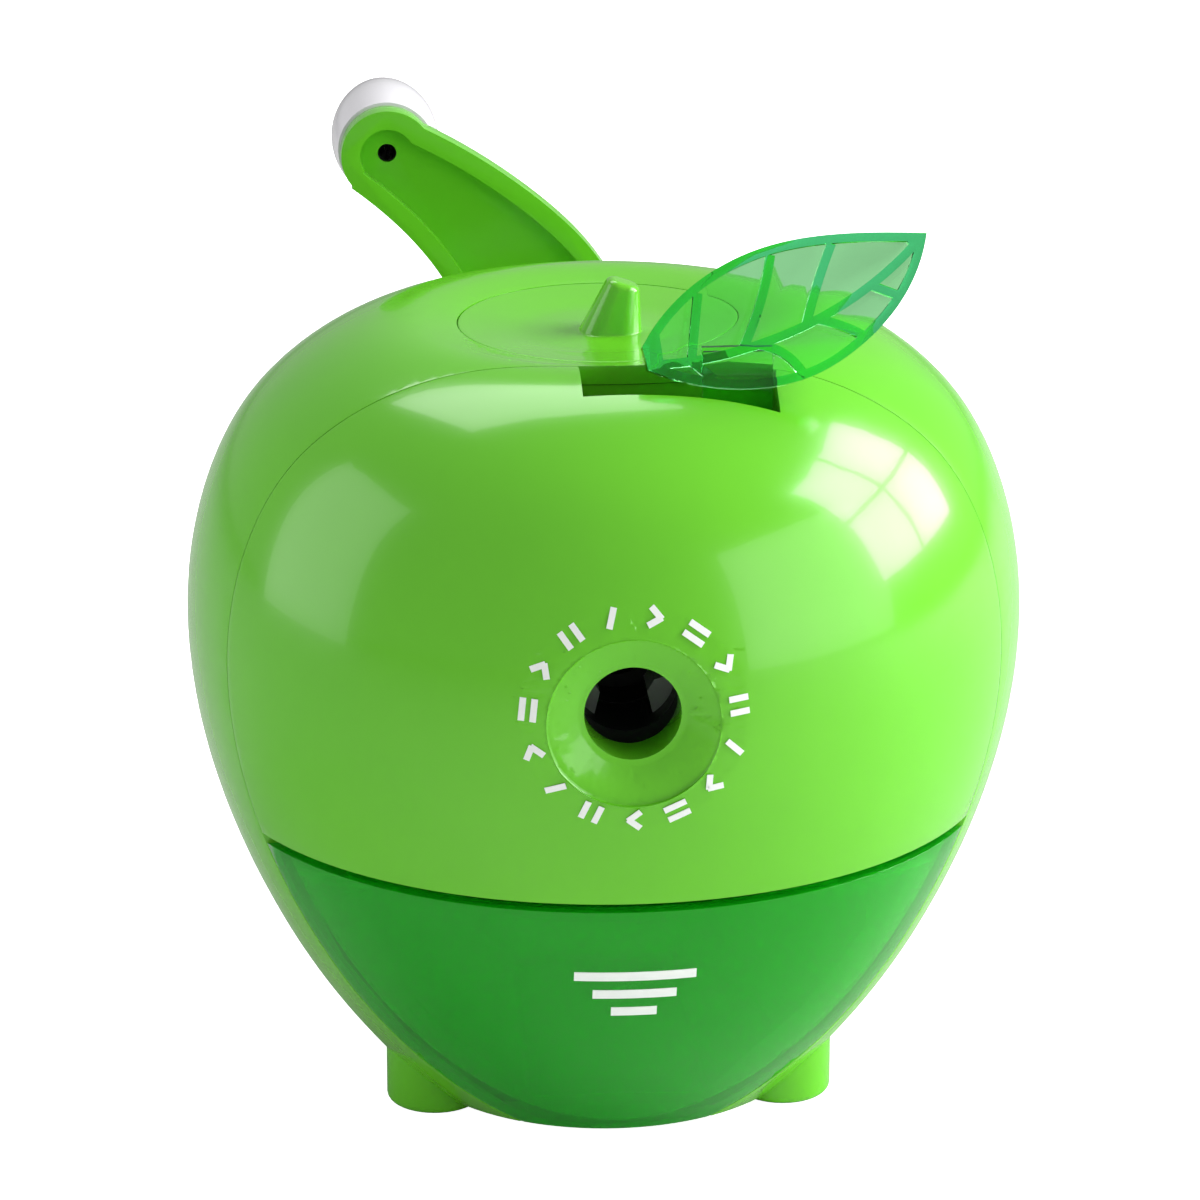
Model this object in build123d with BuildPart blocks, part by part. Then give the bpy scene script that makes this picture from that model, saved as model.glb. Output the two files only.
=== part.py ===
"""Apple-shaped desk pencil sharpener: hand crank, self-feeding pencil carriage and shavings drawer.

Frame: origin on the table under the apple's centre, X to the right, Y to the back, Z up. Millimetres.
The pencil goes in along +Y at PENCIL_Z. Everything in front of PARTING_Y above the drawer is the carriage,
which pulls forward on two guide rods. The leaf is the lever that opens the pencil chuck.
"""

from build123d import *
import os
from math import atan2, cos, degrees, radians, sin

# ---------------------------------------------------------------- apple casing
APPLE_STATIONS = (  # radius, height, direction of the outward normal in degrees
    (24.0, 1.5, -44),
    (39.6, 22.6, -28),
    (50.0, 60.0, 0),
    (42.3, 85.3, 39),
    (23.0, 95.7, 90),
    (17.4, 95.0, 98),
)
WALL = 2.2
PENCIL_Z = 62.5
PARTING_Y = -21.0
PARTING_GAP = 0.15
DRAWER_TOP = 38.2
DRAWER_GAP = 1.2
FAR = 120.0

# ---------------------------------------------------------------- cap and stem
CAP_R = 17.3
CAP_LEDGE_R = 15.6
CAP_LEDGE_Z = 93.7
CAP_FLOOR_Z = 94.0
CAP_FLOOR_R = 8.3
CAP_THICK = 1.5
CAP_RIM_Z = 95.0
CAP_DISH = (13.0, 94.45)
CAP_SLACK = 0.15
STEM_BASE = (7.3, 6.4)
STEM_TOP = (3.8, 3.8)
STEM_TOP_Z = 99.9
STEM_X = 0.8
STEM_LEAN = 1.6
STEM_TOP_TILT = 18.0
STEM_CORNERS = (2.6, 1.5)
STEM_ROUND = 0.9

# ---------------------------------------------------------------- feet
FOOT_R = 5.9
FOOT_X = 21.2
FOOT_FRONT_Y = -9.5
FOOT_BACK_Y = 17.0
FOOT_ROUND = 1.0
FOOT_TALL = 10.0

# ---------------------------------------------------------------- pencil mouth and chuck
HOLE_R = 5.5
MOUTH_R = 10.3
MOUTH_Y = -49.2
MOUTH_FLOOR_Y = -47.0
NOZZLE_R = 9.0
NOZZLE_BACK_Y = -41.5
SHELL_POST_R = 3.3
SHELL_SCREW_DEPTH = 7.0
HOUSING_BACK_Y = -27.0
HOUSING_PLATE = 3.0
HOUSING_SIZE = (54.0, 34.0)
HOUSING_ROUND = 4.0
ROD_BAR = (70.0, 12.0)
ROD_BAR_ROUND = 5.0
HOUSING_POST_R = 3.0
CHUCK_BORE_R = 6.0
JAW_SLOT = (16.4, 6.0)
JAW_SLOT_DEPTH = 6.0
HOUSING_HUB_R = 17.0
HOUSING_HUB_FRONT_Y = -36.0
CAM_BACK_Y = -23.8
CAM_THICK = 2.8
CAM_R = 17.5
CAM_BORE_R = 8.4
COLLAR_R = 8.0
COVER_BACK_Y = -21.4
COVER_THICK = 2.0
LEVER_SWING = 18.0
JAW_COUNT = 3
JAW_TRAVEL = 2.0
JAW_WIDTH = 5.4
JAW_TIP_R = 3.6
JAW_TIP_HALF = 0.8
JAW_TAPER = 1.8
JAW_END_R = 13.0
JAW_PIN_R = 1.2
JAW_PIN_AT = 11.0
PIN_SLACK = 0.45
JAW_FRONT_Y = -32.6
JAW_BACK_Y = -27.3
CHUCK_SCREW_X = 23.0
CHUCK_SCREW_Z = 13.0
CHUCK_SCREW_TIP = 6.0
SCREW_R = 1.3
SCREW_HEAD_R = 2.6
SCREW_HEAD = 1.2

# ---------------------------------------------------------------- leaf lever
NOTCH_X = (-4.4, 18.1)
NOTCH_FRONT_Y = -29.3
LEAF_ROOT = (-1.2, -26.5, 96.5)
LEAF_LEAN = 20.0
LEAF_TOP = ((3.7, 2.6), (9.6, 9.5), (16.6, 13.3), (27.1, 15.1), (36.5, 15.0))
LEAF_BOTTOM = ((36.5, 15.0), (32.9, 6.6), (28.3, 2.0), (22.4, -1.3), (16.6, -2.3), (9.6, -1.7), (4.3, 0.0))
LEAF_MIDRIB = ((3.9, 0.6), (9.3, 0.9), (16.2, 2.4), (23.8, 5.4), (30.0, 9.2), (36.4, 15.2))
LEAF_VEINS = (
    ((9.3, 0.9), (10.2, 8.6)),
    ((15.2, 2.2), (17.5, 8.0), (18.6, 12.8)),
    ((22.5, 4.8), (24.0, 9.8), (25.6, 14.0)),
    ((9.3, 0.9), (11.8, -1.2)),
    ((17.0, 2.6), (20.8, 0.8), (21.9, -0.6)),
    ((23.8, 5.4), (26.6, 4.6), (29.4, 3.2)),
    ((29.9, 9.2), (33.0, 8.0)),
)
LEAF_PLATE = 1.1
LEAF_RIB = 1.5
LEAF_RIB_WIDTH = 1.0
TONGUE_X = (9.5, 17.5)
TONGUE_TOP_Z = 98.5
CAM_ARM_ROOT = ((4.0, 15.0), (12.5, 8.0))
LAP_Z = (84.0, 89.0)
TONGUE_Y = (-26.4, -24.0)
LAP_Y = -25.2
RIVET_R = 0.9
RIVET_SPOTS = ((11.5, 24.0), (15.5, 24.0))
RIVET_HEAD = 0.2
LEVER_SPRING = {"radius": 1.0, "wire_r": 0.25, "turns": 12}
LEVER_SPRING_LENGTH = 18.0
LEVER_SPRING_Z = -20.4

# ---------------------------------------------------------------- guide rods and feed springs
ROD_X = 30.0
ROD_R = 2.5
ROD_BACK_Y = 29.0
ROD_HEAD_R = 4.0
BUSH_R = 4.5
BUSH_FLANGE_R = 4.75
BUSH_BACK_Y = -9.0
RUNNING = 0.06
CLIP_Y = 27.0
CLIP_THICK = 1.2
CLIP_R = 4.4
CLIP_SLOT = (1.6, 5.0)
ROD_HEAD = 1.6
ROD_CHAMFER = 0.5
BUSH_FIT = 0.02
BUSH_FLANGE = 1.5
SPRING_R = 3.3
SPRING_WIRE_R = 0.4
SPRING_TURNS = 7
SPRING_SLACK = 0.5

# ---------------------------------------------------------------- frame behind the carriage
FACE_FRONT_Y = -20.8
FACE_THICK = 2.5
FACE_BOTTOM_Z = 39.6
FACE_HOLE_R = 16.6
POST_X = 33.0
POST_Z = 14.0
POST_R = 3.5
HOOD_R = 25.0
HOOD_WALL = 1.8
HOOD_BACK_Y = 24.5
HOOD_END = 2.5
HOOD_LOW = -8.0
LUG_AT = 28.5
LUG_R = 3.6
LUG_THICK = 3.0
LUG_REACH = 6.0
LUG_ANGLE = 40.0
HUB_CLEAR = 0.4
POST_SCREW = 11.0
POST_HOLE = 12.0
FACE_CLEAR = 0.1

# ---------------------------------------------------------------- planetary cutter
RING_TEETH = 36
RING_TIP_R = 17.2
RING_ROOT_R = 19.3
RING_R = 22.8
RING_BACK_Y = -11.0
RING_SPACES = (7.8, 4.4)
RING_SCREW_R = 20.9
RING_SCREW = 4.5
RING_HOLE = 5.0
PINION_TEETH = 12
PINION_TIP_R = 6.8
PINION_ROOT_R = 4.9
PINION_THICK = 2.6
PINION_TOOTH = (15.0, 6.5)
PINION_NECK_R = 3.6
FLUTE = (26.0, 4.0)
CUTTER_TILT = 10.0
CUTTER_AXIS_R = 12.0
CUTTER_Y = -14.0
CUTTER_R = 6.6
CUTTER_ROOT_R = 5.4
CUTTER_FLUTES = 10
CUTTER_START = 3.0
CUTTER_LENGTH = 24.0
CUTTER_TWIST = 70.0
AXLE_R = 1.5
AXLE_FROM = -4.0
AXLE_TO = 31.0
DISC_R = 16.1
DISC_FRONT_Y = -20.5
DISC_THICK = 3.2
DISC_BORE_R = 4.6
CRADLE_R = (11.0, 14.5)
TAIL_Y = (15.0, 19.5)
TAIL_R = 14.5
CARRIER_HUB_R = 6.0
CARRIER_HUB_BACK_Y = 27.0

# ---------------------------------------------------------------- crank
SHAFT_R = 3.0
SHAFT_Y = (22.0, 57.0)
BOSS_R = 7.0
BOSS_FRONT_Y = 40.0
SLEEVE_R = 4.6
BUSH_OUTER_Y = 51.2
BUSH_SHOULDER_Y = 50.0
BUSH_OUTER_R = 6.2
ARM_Y = (54.8, 58.0)
ARM_FLOOR = 1.2
ARM_RIM = 2.4
HUB_R = 10.0
HUB_BOSS_R = 5.5
HUB_FRONT_Y = 52.0
ARM_END_R = 5.9
KNOB_X = -23.7
KNOB_Z = 39.4
ARM_RIGHT = ((-21.9, 44.4), (-13.1, 39.7), (-4.1, 33.2), (3.7, 24.9), (9.0, 12.0), (10.0, 0.0))
ARM_LEFT = ((-28.3, 35.3), (-22.2, 30.0), (-16.9, 23.4), (-12.0, 12.0), (-10.0, 0.0))
CRANK_SCREW = 10.0
KNOB_PIN_R = 2.0
KNOB_PIN_BORE_R = 1.2
KNOB_PIN_SEAT_Y = 57.4
KNOB_PIN_END_Y = 76.4
KNOB_BARB_R = 2.7
KNOB_BARB_Y = (74.4, 75.6)
KNOB_ROOM_R = 3.1
KNOB_ROOM_Y = (74.0, 77.2)
KNOB_R = 6.9
KNOB_NECK_R = 6.2
KNOB_WIDEST_Y = 66.0
KNOB_TAPER = (5.5, 75.8)
KNOB_FRONT_Y = 58.5
KNOB_END_Y = 81.5

# ---------------------------------------------------------------- drawer
DRAWER_WALL = 2.0
DRAWER_FRONT_Y = -21.3
BIN_BACK_Y = 20.0
BIN_TOP = 36.5
BIN_SECTION = ((12.0, 4.8), (23.5, 15.0), (31.0, 25.0), (36.0, BIN_TOP))


def apple_body(inset):
    """The whole apple as one closed solid, its skin moved in by inset."""
    points = []
    tangents = []
    for radius, height, angle in APPLE_STATIONS:
        out_r, out_z = cos(radians(angle)), sin(radians(angle))
        points.append((radius - inset * out_r, height - inset * out_z))
        tangents.append((-out_z, out_r))
    low, high = points[0], points[-1]
    with BuildPart(mode=Mode.PRIVATE) as body:
        with BuildSketch(Plane.XZ):
            with BuildLine():
                Spline(*points, tangents=tangents)
                Polyline(high, (0, high[1]), (0, low[1]), low)
            make_face()
        revolve(axis=Axis.Z)
    return body.part


def block(x, y, z):
    """A box between the given (low, high) pairs, outside any part."""
    size = (x[1] - x[0], y[1] - y[0], z[1] - z[0])
    return Pos(x[0], y[0], z[0]) * Box(*size, align=(Align.MIN,) * 3, mode=Mode.PRIVATE)


def facing(y, z=PENCIL_Z):
    """A plane across the pencil axis at y, seen from the front, so that extrude goes forward."""
    return Plane(origin=(0, y, z), x_dir=(1, 0, 0), z_dir=(0, -1, 0))


def screws_at(spots, head_back, tip_front):
    """Pan-head screws driven from the back towards -Y, one solid at each (x, z) spot."""
    with BuildPart(mode=Mode.PRIVATE) as screws:
        with BuildSketch(facing(head_back)):
            with Locations(*spots):
                Circle(SCREW_HEAD_R)
        extrude(amount=SCREW_HEAD)
        with BuildSketch(facing(head_back - SCREW_HEAD)):
            with Locations(*spots):
                Circle(SCREW_R)
        extrude(amount=head_back - SCREW_HEAD - tip_front)
        with BuildSketch(facing(head_back)):
            with Locations(*spots):
                Rectangle(SCREW_HEAD_R * 1.3, 0.5)
                Rectangle(0.5, SCREW_HEAD_R * 1.3)
        extrude(amount=SCREW_HEAD / 2, mode=Mode.SUBTRACT)
    return screws.part


def screws_from_front(spots, head_front, tip_back):
    """The same screws driven from the front towards +Y."""
    with BuildPart(mode=Mode.PRIVATE) as screws:
        with BuildSketch(facing(head_front + SCREW_HEAD)):
            with Locations(*spots):
                Circle(SCREW_HEAD_R)
        extrude(amount=SCREW_HEAD)
        with BuildSketch(facing(tip_back)):
            with Locations(*spots):
                Circle(SCREW_R)
        extrude(amount=tip_back - head_front - SCREW_HEAD)
        with BuildSketch(facing(head_front + SCREW_HEAD / 2)):
            with Locations(*spots):
                Rectangle(SCREW_HEAD_R * 1.3, 0.5)
                Rectangle(0.5, SCREW_HEAD_R * 1.3)
        extrude(amount=SCREW_HEAD / 2, mode=Mode.SUBTRACT)
    return screws.part


def mirrored_spots(x, z):
    """The four (x, z) spots of a rectangle about the pencil axis."""
    return [(x, z), (-x, z), (-x, -z), (x, -z)]


def tooth_outline(count, valley_r, tip_r, valley_width, tip_width):
    """Corners of a toothed wheel: each tooth is a flat-topped wedge, widths in degrees."""
    corners = []
    for tooth in range(count):
        middle = 90 + tooth * 360 / count
        for radius, offset in ((valley_r, -valley_width / 2), (tip_r, -tip_width / 2),
                               (tip_r, tip_width / 2), (valley_r, valley_width / 2)):
            angle = radians(middle + offset)
            corners.append((radius * cos(angle), radius * sin(angle)))
    return corners


def inset_points(points, inset, start=0.0, end=1.0, count=7):
    """Points along the curve through the given ones, moved to its right-hand side by inset."""
    curve = Edge.make_spline([Vector(*point) for point in points])
    steps = [start + (end - start) * i / (count - 1) for i in range(count)]
    return [curve @ t + (curve % t).rotate(Axis.Z, -90) * inset for t in steps]


def coil(start, direction, length, radius, wire_r, turns):
    """A helical spring whose axis runs from start along direction."""
    path = Helix(pitch=length / turns, height=length, radius=radius)
    section = Plane(origin=path @ 0, z_dir=path % 0) * Circle(wire_r, mode=Mode.PRIVATE)
    spring = sweep(section, path=path, mode=Mode.PRIVATE)
    return Plane(origin=start, z_dir=direction) * spring


parts = {}


def keep(name, part):
    """Label a finished piece and remember it under its node name."""
    part.label = name
    parts[name] = part


FACE_BACK_Y = FACE_FRONT_Y + FACE_THICK
CAM_FRONT_Y = CAM_BACK_Y - CAM_THICK
COVER_FRONT_Y = COVER_BACK_Y - COVER_THICK
HOUSING_FRONT_Y = HOUSING_BACK_Y - HOUSING_PLATE
HEAD_ROOM = SCREW_HEAD_R + 0.2
CHUCK_SPOTS = mirrored_spots(CHUCK_SCREW_X, CHUCK_SCREW_Z)
POST_SPOTS = mirrored_spots(POST_X, POST_Z)
ROD_SPOTS = [(-ROD_X, 0), (ROD_X, 0)]
LUG_SPOTS = [(LUG_AT * sin(radians(a)), LUG_AT * cos(radians(a))) for a in (-LUG_ANGLE, LUG_ANGLE)]
GEAR_SPOTS = [(RING_SCREW_R * cos(radians(a)), RING_SCREW_R * sin(radians(a))) for a in (30, 150, 270)]

# ================================================================ front shell: the carriage's skin
mouth_core = apple_body(1.0)
with BuildPart(mode=Mode.PRIVATE) as inner_posts:
    with BuildSketch(facing(HOUSING_FRONT_Y)):
        with Locations(*CHUCK_SPOTS):
            Circle(SHELL_POST_R)
    extrude(amount=30)
    with BuildSketch(facing(NOZZLE_BACK_Y)):
        Circle(NOZZLE_R)
    extrude(amount=20)
    add(mouth_core, mode=Mode.INTERSECT)

with BuildPart() as front_shell:
    add(apple_body(0))
    add(apple_body(WALL), mode=Mode.SUBTRACT)
    add(block((-FAR, FAR), (-FAR, PARTING_Y - PARTING_GAP), (DRAWER_TOP + DRAWER_GAP, FAR)),
        mode=Mode.INTERSECT)
    add(block(NOTCH_X, (NOTCH_FRONT_Y, 0), (84, FAR)), mode=Mode.SUBTRACT)
    add(inner_posts.part)
    with BuildSketch(facing(MOUTH_FLOOR_Y)):
        Circle(HOLE_R + 0.5)
    with BuildSketch(facing(MOUTH_Y)):
        Circle(MOUTH_R)
    loft(mode=Mode.SUBTRACT)
    with BuildSketch(facing(MOUTH_Y)):
        Circle(MOUTH_R)
    extrude(amount=5, mode=Mode.SUBTRACT)
    with BuildSketch(facing(NOZZLE_BACK_Y)):
        Circle(HOLE_R)
    extrude(amount=20, mode=Mode.SUBTRACT)
    with BuildSketch(facing(HOUSING_FRONT_Y)):
        with Locations(*CHUCK_SPOTS):
            Circle(SCREW_R)
    extrude(amount=SHELL_SCREW_DEPTH, mode=Mode.SUBTRACT)
keep("front_shell", front_shell.part)

# ================================================================ rear shell: casing, posts and feet
with BuildPart(mode=Mode.PRIVATE) as rear_posts:
    with BuildSketch(Plane(origin=(0, FACE_BACK_Y, PENCIL_Z), x_dir=(-1, 0, 0), z_dir=(0, 1, 0))):
        with Locations(*POST_SPOTS):
            Circle(POST_R)
    extrude(amount=60)
    with BuildSketch(facing(FAR)):
        Circle(BOSS_R)
    extrude(amount=FAR - BOSS_FRONT_Y)
    add(apple_body(1.0), mode=Mode.INTERSECT)

with BuildPart() as rear_shell:
    add(apple_body(0))
    with BuildSketch(Plane.XY):
        with Locations((FOOT_X, FOOT_FRONT_Y), (-FOOT_X, FOOT_FRONT_Y),
                       (FOOT_X, FOOT_BACK_Y), (-FOOT_X, FOOT_BACK_Y)):
            Circle(FOOT_R)
    extrude(amount=FOOT_TALL)
    foot_rims = rear_shell.edges().filter_by(GeomType.CIRCLE).group_by(Axis.Z)[0]
    fillet(foot_rims, radius=FOOT_ROUND)
    add(apple_body(WALL), mode=Mode.SUBTRACT)
    add(block((-FAR, FAR), (PARTING_Y, FAR), (-1, FAR)), mode=Mode.INTERSECT)
    add(rear_posts.part)
    with BuildSketch(Plane.XY.offset(CAP_LEDGE_Z)):
        Circle(CAP_R + 0.1)
    extrude(amount=5, mode=Mode.SUBTRACT)
    with BuildSketch(Plane.XY.offset(CAP_LEDGE_Z)):
        Circle(CAP_LEDGE_R)
    extrude(amount=-5, mode=Mode.SUBTRACT)
    with BuildSketch(facing(FAR)):
        Circle(SLEEVE_R)
    extrude(amount=FAR - BOSS_FRONT_Y + 1, mode=Mode.SUBTRACT)
    with BuildSketch(Plane(origin=(0, FACE_BACK_Y, PENCIL_Z), x_dir=(-1, 0, 0), z_dir=(0, 1, 0))):
        with Locations(*POST_SPOTS):
            Circle(SCREW_R)
    extrude(amount=POST_HOLE, mode=Mode.SUBTRACT)
keep("rear_shell", rear_shell.part)

# ================================================================ top cap with its stem
STEM_TOP_PLANE = Plane(origin=(STEM_X + STEM_LEAN, 0, STEM_TOP_Z),
                       x_dir=(cos(radians(STEM_TOP_TILT)), 0, -sin(radians(STEM_TOP_TILT))),
                       z_dir=(sin(radians(STEM_TOP_TILT)), 0, cos(radians(STEM_TOP_TILT))))
with BuildPart() as top_cap:
    with BuildSketch(Plane.XZ):
        with BuildLine():
            Polyline((0, CAP_FLOOR_Z - CAP_THICK), (CAP_LEDGE_R - CAP_SLACK, CAP_FLOOR_Z - CAP_THICK),
                     (CAP_LEDGE_R - CAP_SLACK, CAP_LEDGE_Z), (CAP_R, CAP_LEDGE_Z), (CAP_R, CAP_RIM_Z))
            Spline((CAP_R, CAP_RIM_Z), CAP_DISH, (CAP_FLOOR_R, CAP_FLOOR_Z),
                   tangents=((-1, -0.15), (-1, 0)))
            Polyline((CAP_FLOOR_R, CAP_FLOOR_Z), (0, CAP_FLOOR_Z), (0, CAP_FLOOR_Z - CAP_THICK))
        make_face()
    revolve(axis=Axis.Z)
    with BuildSketch(Plane.XY.offset(CAP_FLOOR_Z)):
        with Locations((STEM_X, 0)):
            RectangleRounded(*STEM_BASE, radius=STEM_CORNERS[0])
    with BuildSketch(STEM_TOP_PLANE):
        RectangleRounded(*STEM_TOP, radius=STEM_CORNERS[1])
    loft()
    fillet(top_cap.faces().sort_by(Axis.Z)[-1].edges(), radius=STEM_ROUND)
keep("top_cap", top_cap.part)

# ================================================================ face plate: inner front wall
with BuildPart() as face_plate:
    add(apple_body(WALL + FACE_CLEAR))
    add(block((-FAR, FAR), (FACE_FRONT_Y, FACE_BACK_Y), (FACE_BOTTOM_Z, FAR)), mode=Mode.INTERSECT)
    with BuildSketch(facing(FACE_BACK_Y)):
        Circle(FACE_HOLE_R)
        with Locations(*ROD_SPOTS):
            Circle(BUSH_R)
        with Locations(*POST_SPOTS, *LUG_SPOTS, *GEAR_SPOTS):
            Circle(SCREW_R)
    extrude(amount=FACE_THICK, mode=Mode.SUBTRACT)
    with BuildSketch(facing(FACE_FRONT_Y + SCREW_HEAD)):
        with Locations(*POST_SPOTS, *LUG_SPOTS, *GEAR_SPOTS):
            Circle(HEAD_ROOM)
    extrude(amount=SCREW_HEAD, mode=Mode.SUBTRACT)
keep("face_plate", face_plate.part)
keep("face_plate_screws", screws_from_front(POST_SPOTS, FACE_FRONT_Y, FACE_BACK_Y + POST_SCREW))

# ================================================================ ring gear
with BuildPart() as ring_gear:
    with BuildSketch(facing(RING_BACK_Y)):
        Circle(RING_R)
        with BuildLine():
            Polyline(*tooth_outline(RING_TEETH, RING_TIP_R, RING_ROOT_R, *RING_SPACES), close=True)
        make_face(mode=Mode.SUBTRACT)
    extrude(amount=RING_BACK_Y - FACE_BACK_Y)
    with BuildSketch(facing(FACE_BACK_Y + RING_HOLE)):
        with Locations(*GEAR_SPOTS):
            Circle(SCREW_R)
    extrude(amount=RING_HOLE, mode=Mode.SUBTRACT)
keep("ring_gear", ring_gear.part)
keep("gear_screws", screws_from_front(GEAR_SPOTS, FACE_FRONT_Y, FACE_BACK_Y + RING_SCREW))

# ================================================================ hood over the cutter
with BuildPart() as cutter_hood:
    with BuildSketch(facing(HOOD_BACK_Y)):
        Circle(HOOD_R)
    extrude(amount=HOOD_BACK_Y - FACE_BACK_Y)
    with BuildSketch(facing(FACE_BACK_Y + LUG_THICK)):
        for spot in LUG_SPOTS:
            with BuildSketch(mode=Mode.PRIVATE) as lug:
                with Locations(spot):
                    Circle(LUG_R)
                Circle(LUG_REACH)
            add(make_hull(lug.edges(), mode=Mode.PRIVATE))
    extrude(amount=LUG_THICK)
    with BuildSketch(facing(HOOD_BACK_Y - HOOD_END)):
        Circle(HOOD_R - HOOD_WALL)
    extrude(amount=HOOD_BACK_Y - HOOD_END - FACE_BACK_Y, mode=Mode.SUBTRACT)
    with BuildSketch(facing(HOOD_BACK_Y)):
        Circle(CARRIER_HUB_R + HUB_CLEAR)
    extrude(amount=HOOD_END, mode=Mode.SUBTRACT)
    with BuildSketch(facing(FACE_BACK_Y + LUG_THICK)):
        with Locations(*LUG_SPOTS):
            Circle(SCREW_R)
    extrude(amount=LUG_THICK, mode=Mode.SUBTRACT)
    add(block((-FAR, FAR), (-FAR, FAR), (PENCIL_Z + HOOD_LOW, FAR)), mode=Mode.INTERSECT)
keep("cutter_hood", cutter_hood.part)
keep("hood_screws", screws_from_front(LUG_SPOTS, FACE_FRONT_Y, FACE_BACK_Y + LUG_THICK))

# ================================================================ shaft bush in the back wall
with BuildPart() as crank_bush:
    with BuildSketch(facing(BUSH_SHOULDER_Y)):
        Circle(SLEEVE_R - BUSH_FIT)
        Circle(SHAFT_R + RUNNING, mode=Mode.SUBTRACT)
    extrude(amount=BUSH_SHOULDER_Y - BOSS_FRONT_Y)
    with BuildSketch(facing(BUSH_OUTER_Y)):
        Circle(BUSH_OUTER_R)
        Circle(SHAFT_R + RUNNING, mode=Mode.SUBTRACT)
    extrude(amount=BUSH_OUTER_Y - BUSH_SHOULDER_Y)
keep("crank_bush", crank_bush.part)

# ================================================================ rod bushes and springs
for side, rod_x in (("left", -ROD_X), ("right", ROD_X)):
    rod_plane = Plane(origin=(rod_x, BUSH_BACK_Y, PENCIL_Z), x_dir=(1, 0, 0), z_dir=(0, -1, 0))
    with BuildPart() as rod_bush:
        with BuildSketch(rod_plane):
            Circle(BUSH_R - BUSH_FIT)
            Circle(ROD_R + RUNNING, mode=Mode.SUBTRACT)
        extrude(amount=BUSH_BACK_Y - FACE_FRONT_Y)
        with BuildSketch(rod_plane.offset(BUSH_BACK_Y - FACE_BACK_Y)):
            Circle(BUSH_FLANGE_R)
            Circle(ROD_R + RUNNING, mode=Mode.SUBTRACT)
        extrude(amount=-BUSH_FLANGE)
    keep(f"rod_bush_{side}", rod_bush.part)
    spring_length = CLIP_Y - BUSH_BACK_Y - 2 * SPRING_SLACK
    keep(f"feed_spring_{side}", coil((rod_x, BUSH_BACK_Y + SPRING_SLACK, PENCIL_Z), (0, 1, 0),
                                     spring_length, SPRING_R, SPRING_WIRE_R, SPRING_TURNS))

    # ============================================================ guide rod, on the carriage
    with BuildPart() as guide_rod:
        with BuildSketch(rod_plane.offset(BUSH_BACK_Y - ROD_BACK_Y)):
            Circle(ROD_R)
        extrude(amount=ROD_BACK_Y - HOUSING_FRONT_Y)
        chamfer(guide_rod.edges().filter_by(GeomType.CIRCLE).sort_by(Axis.Y)[-1], length=ROD_CHAMFER)
        with BuildSketch(rod_plane.offset(BUSH_BACK_Y - HOUSING_FRONT_Y)):
            Circle(ROD_HEAD_R)
        extrude(amount=ROD_HEAD)
    keep(f"guide_rod_{side}", guide_rod.part)

with BuildPart() as rod_clips:
    with BuildSketch(facing(CLIP_Y + CLIP_THICK)):
        with Locations(*ROD_SPOTS):
            Circle(CLIP_R)
            Circle(ROD_R, mode=Mode.SUBTRACT)
        with Locations(*[(x, -4.0) for x, _ in ROD_SPOTS]):
            Rectangle(*CLIP_SLOT, mode=Mode.SUBTRACT)
    extrude(amount=CLIP_THICK)
keep("rod_clips", rod_clips.part)

# ================================================================ chuck housing
with BuildPart() as chuck_housing:
    with BuildSketch(facing(HOUSING_BACK_Y)):
        RectangleRounded(*HOUSING_SIZE, radius=HOUSING_ROUND)
        RectangleRounded(*ROD_BAR, radius=ROD_BAR_ROUND)
    extrude(amount=HOUSING_PLATE)
    with BuildSketch(facing(HOUSING_BACK_Y)):
        Circle(HOUSING_HUB_R)
    extrude(amount=HOUSING_BACK_Y - HOUSING_HUB_FRONT_Y)
    with BuildSketch(facing(COVER_FRONT_Y)):
        with Locations(*CHUCK_SPOTS):
            Circle(HOUSING_POST_R)
    extrude(amount=COVER_FRONT_Y - HOUSING_BACK_Y)
    with BuildSketch(facing(HOUSING_BACK_Y)):
        Circle(CHUCK_BORE_R)
    extrude(amount=20, mode=Mode.SUBTRACT)
    with BuildSketch(facing(HOUSING_BACK_Y)):
        with PolarLocations(0, JAW_COUNT, start_angle=90):
            with Locations((JAW_SLOT[0] / 2, 0)):
                Rectangle(*JAW_SLOT)
    extrude(amount=JAW_SLOT_DEPTH, mode=Mode.SUBTRACT)
    with BuildSketch(facing(COVER_FRONT_Y)):
        with Locations(*CHUCK_SPOTS):
            Circle(SCREW_R)
        with Locations(*ROD_SPOTS):
            Circle(ROD_R)
    extrude(amount=20, mode=Mode.SUBTRACT)
keep("chuck_housing", chuck_housing.part)

# ================================================================ chuck cover with the lever's collar
with BuildPart() as chuck_cover:
    with BuildSketch(facing(COVER_BACK_Y)):
        RectangleRounded(*HOUSING_SIZE, radius=HOUSING_ROUND)
    extrude(amount=COVER_THICK)
    with BuildSketch(facing(COVER_FRONT_Y)):
        Circle(COLLAR_R)
    extrude(amount=CAM_THICK + 0.3)
    with BuildSketch(facing(COVER_BACK_Y)):
        Circle(CHUCK_BORE_R)
        with Locations(*CHUCK_SPOTS):
            Circle(SCREW_R)
    extrude(amount=20, mode=Mode.SUBTRACT)
    with BuildSketch(facing(COVER_BACK_Y)):
        with Locations(*CHUCK_SPOTS):
            Circle(HEAD_ROOM)
    extrude(amount=SCREW_HEAD, mode=Mode.SUBTRACT)
keep("chuck_cover", chuck_cover.part)
keep("carriage_screws", screws_at(CHUCK_SPOTS, COVER_BACK_Y, HOUSING_FRONT_Y - CHUCK_SCREW_TIP))

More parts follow.
